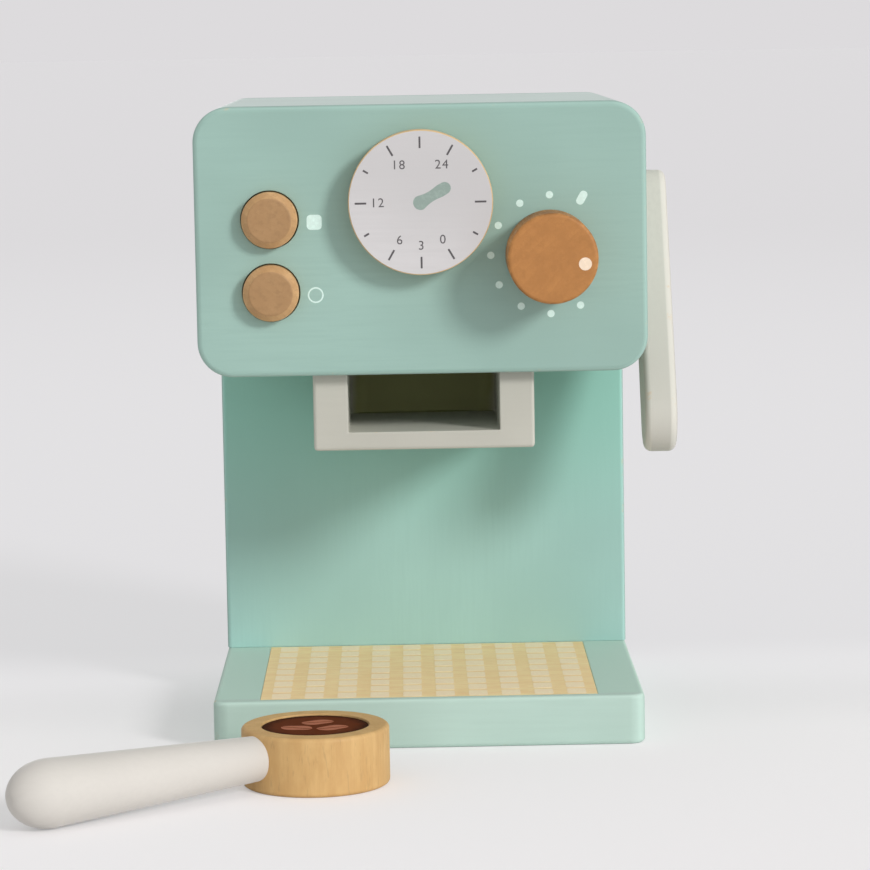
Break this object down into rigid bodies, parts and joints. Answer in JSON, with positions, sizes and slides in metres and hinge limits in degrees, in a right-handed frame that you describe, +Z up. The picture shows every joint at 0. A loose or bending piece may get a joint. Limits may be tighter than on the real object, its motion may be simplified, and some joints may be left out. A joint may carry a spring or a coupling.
{
  "type": "toy coffee maker",
  "caption": "Upright wooden toy espresso machine with a dial, a knob, push buttons, a side lever, a drip tray and a loose portafilter.",
  "frame": {"origin": "centre of the underside of the base", "axes": "+Z up; -Y towards the child who plays, the side with the dial; +X to that child's right, the side with the lever"},
  "size_m": [0.2051, 0.2632, 0.204],
  "materials": {
    "mint_paint": "satin mint paint on smooth MDF",
    "white_paint": "satin cream white paint",
    "tray_plate": "thin plywood printed with a grid of pale squares",
    "dial_face": "white printed face on a beech disc with a bare edge",
    "warm_beech": "oiled beech, orange brown",
    "pale_beech": "clear varnished pine or beech",
    "bare_beech": "bare turned beech",
    "coffee_brown": "dark brown print on a thin disc",
    "nylon": "natural nylon",
    "zinc_steel": "zinc plated",
    "spring_steel": "drawn wire"
  },
  "bodies": {
    "machine": {"base_board": "mint_paint", "column_front_panel": "mint_paint", "column_left_panel": "mint_paint", "column_right_panel": "mint_paint", "column_rear_cover": "mint_paint", "head_front_panel": "mint_paint", "head_rear_panel": "mint_paint", "head_top_board": "mint_paint", "head_bottom_board": "mint_paint", "head_left_board": "mint_paint", "head_right_board": "mint_paint", "holder": "white_paint", "drip_tray_plate": "tray_plate", "button_backplate": "bare_beech", "backplate_posts": "bare_beech", "base_dowels": "bare_beech", "column_dowels": "bare_beech", "holder_dowels": "bare_beech", "front_panel_dowels": "bare_beech", "backplate_screws": "zinc_steel", "base_screws": "zinc_steel", "rear_screws": "zinc_steel", "button_upper_spring": "spring_steel", "button_lower_spring": "spring_steel"},
    "dial": {"dial_disc": "dial_face", "dial_axle": "bare_beech", "dial_retainer": "bare_beech", "dial_screw": "zinc_steel"},
    "knob": {"knob": "warm_beech", "knob_axle": "bare_beech", "knob_retainer": "bare_beech", "knob_screw": "zinc_steel"},
    "button_upper": {"button_upper": "warm_beech"},
    "button_lower": {"button_lower": "warm_beech"},
    "lever": {"lever": "white_paint", "lever_axle": "bare_beech", "lever_washer": "nylon", "lever_retainer": "bare_beech", "lever_screw": "zinc_steel"},
    "portafilter": {"portafilter_cup": "pale_beech", "coffee_disc": "coffee_brown", "portafilter_handle": "white_paint", "portafilter_dowel": "bare_beech"}
  },
  "joints": [
    {"name": "dial_turn", "type": "hinge", "parent": "machine", "child": "dial", "pos_m": [0, -0.075, 0.1738], "axis": [0, -1, 0], "continuous": true},
    {"name": "knob_turn", "type": "hinge", "parent": "machine", "child": "knob", "pos_m": [0.0403, -0.075, 0.1565], "axis": [0, -1, 0], "continuous": true},
    {"name": "button_upper_press", "type": "slide", "parent": "machine", "child": "button_upper", "axis": [0, 1, 0], "range_m": [0, 0.003], "stiffness_N_per_m": 300, "springref_m": -0.002, "deforming": ["button_upper_spring"]},
    {"name": "button_lower_press", "type": "slide", "parent": "machine", "child": "button_lower", "axis": [0, 1, 0], "range_m": [0, 0.003], "stiffness_N_per_m": 300, "springref_m": -0.002, "deforming": ["button_lower_spring"]},
    {"name": "lever_swing", "type": "hinge", "parent": "machine", "child": "lever", "pos_m": [0.07075, 0.005, 0.169], "axis": [1, 0, 0], "continuous": true},
    {"name": "portafilter_lift", "type": "slide", "parent": "machine", "child": "portafilter", "axis": [0, 0, 1], "range_m": [0, 0.15]}
  ]
}
